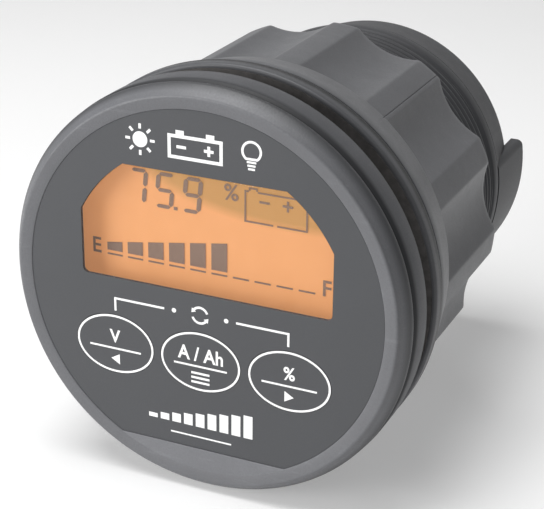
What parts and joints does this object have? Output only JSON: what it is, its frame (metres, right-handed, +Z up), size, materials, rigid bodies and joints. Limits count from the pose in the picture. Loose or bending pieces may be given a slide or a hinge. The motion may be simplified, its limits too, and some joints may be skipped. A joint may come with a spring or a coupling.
{
  "type": "panel-mount battery monitor",
  "caption": "Round panel-mount battery monitor head with a lit segment display, oval keys, threaded barrel, clamp ring, fluted ring nut and rear terminals.",
  "frame": {"origin": "on the round body's axis, in the plane of the flange face that rests on the panel", "axes": "+Y runs along the body's axis to the rear, -Y is the front face, +X is the viewer's right, +Z is up"},
  "size_m": [0.064, 0.0765, 0.064],
  "materials": {
    "bezel_plastic": "fine-grained moulded ABS",
    "barrel_plastic": "moulded ABS",
    "nut_plastic": "moulded ABS",
    "overlay_print": "satin printed polycarbonate",
    "key_print": "satin printed polycarbonate",
    "clear_window": "clear acrylic",
    "adhesive": "black adhesive film",
    "seal_rubber": "nitrile and foam",
    "screw_steel": "zinc-plated",
    "terminal_steel": "nickel-plated",
    "frame_plastic": "black ABS",
    "switch_cap": "black nylon",
    "display_film": "amber back-lit film",
    "rear_film": "amber film",
    "display_glass": "clear",
    "guide_acrylic": "frosted acrylic",
    "reflector": "white film",
    "led_resin": "amber resin",
    "contact_rubber": "layered silicone",
    "circuit_board": "green solder mask",
    "chip_epoxy": "black epoxy",
    "chip_parts": "ceramic",
    "contact_metal": "gold-flashed",
    "connector_plastic": "black nylon",
    "plug_plastic": "green nylon",
    "can_metal": "satin can",
    "capacitor_sleeve": "printed sleeve",
    "relay_plastic": "white thermoplastic",
    "ferrite": "ferrite",
    "fuse_glass": "ceramic tube"
  },
  "bodies": {
    "case": {"front_bezel": "bezel_plastic", "face_overlay": "overlay_print", "window_lens": "clear_window", "lens_adhesive": "adhesive", "bezel_seal": "seal_rubber", "threaded_barrel": "barrel_plastic", "bezel_screws": "screw_steel", "rear_cover": "barrel_plastic", "rear_seal": "seal_rubber", "cover_screws": "screw_steel", "switch_bodies": "frame_plastic", "snap_domes": "terminal_steel", "front_frame": "frame_plastic", "front_polariser": "display_film", "display_front_glass": "display_glass", "display_rear_glass": "display_glass", "rear_polariser": "rear_film", "light_guide": "guide_acrylic", "reflector_sheet": "reflector", "backlight_leds": "led_resin", "zebra_strips": "contact_rubber", "display_board": "circuit_board", "board_screws": "screw_steel", "main_board": "circuit_board", "board_link_header": "connector_plastic", "board_link_pins": "contact_metal", "microcontroller": "chip_epoxy", "microcontroller_leads": "contact_metal", "sense_amplifier": "chip_epoxy", "clock_crystal": "can_metal", "filter_capacitors": "capacitor_sleeve", "alarm_relay": "relay_plastic", "power_inductor": "ferrite", "voltage_regulator": "chip_epoxy", "input_fuse": "fuse_glass", "small_components": "chip_parts", "terminal_header": "connector_plastic", "header_pins": "contact_metal", "comm_socket": "connector_plastic", "comm_contacts": "contact_metal"},
    "clamp": {"clamp_ring": "nut_plastic", "panel_gasket": "seal_rubber"},
    "nut": {"ring_nut": "nut_plastic"},
    "left_key": {"key_left": "key_print", "switch_plunger_left": "switch_cap"},
    "middle_key": {"key_middle": "key_print", "switch_plunger_middle": "switch_cap"},
    "right_key": {"key_right": "key_print", "switch_plunger_right": "switch_cap"},
    "plug": {"terminal_plug": "plug_plastic", "clamp_cages": "terminal_steel", "clamp_screws": "terminal_steel"}
  },
  "joints": [
    {"name": "nut_travel", "type": "slide", "parent": "case", "child": "clamp", "axis": [0, 1, 0], "range_m": [-0.003, 0.012]},
    {"name": "nut_turn", "type": "hinge", "parent": "clamp", "child": "nut", "pos_m": [0, 0, 0], "axis": [0, 1, 0], "range_deg": [-730, 2890]},
    {"name": "left_key_press", "type": "slide", "parent": "case", "child": "left_key", "axis": [0, 1, 0], "range_m": [0, 0.0003], "stiffness_N_per_m": 4000, "springref_m": -0.0001},
    {"name": "middle_key_press", "type": "slide", "parent": "case", "child": "middle_key", "axis": [0, 1, 0], "range_m": [0, 0.0003], "stiffness_N_per_m": 4000, "springref_m": -0.0001},
    {"name": "right_key_press", "type": "slide", "parent": "case", "child": "right_key", "axis": [0, 1, 0], "range_m": [0, 0.0003], "stiffness_N_per_m": 4000, "springref_m": -0.0001},
    {"name": "plug_pull", "type": "slide", "parent": "case", "child": "plug", "axis": [0, 1, 0], "range_m": [0, 0.012]}
  ],
  "couplings": [
    {"joint": "nut_turn", "follows": "nut_travel", "rad_per_m": 4188.8}
  ]
}
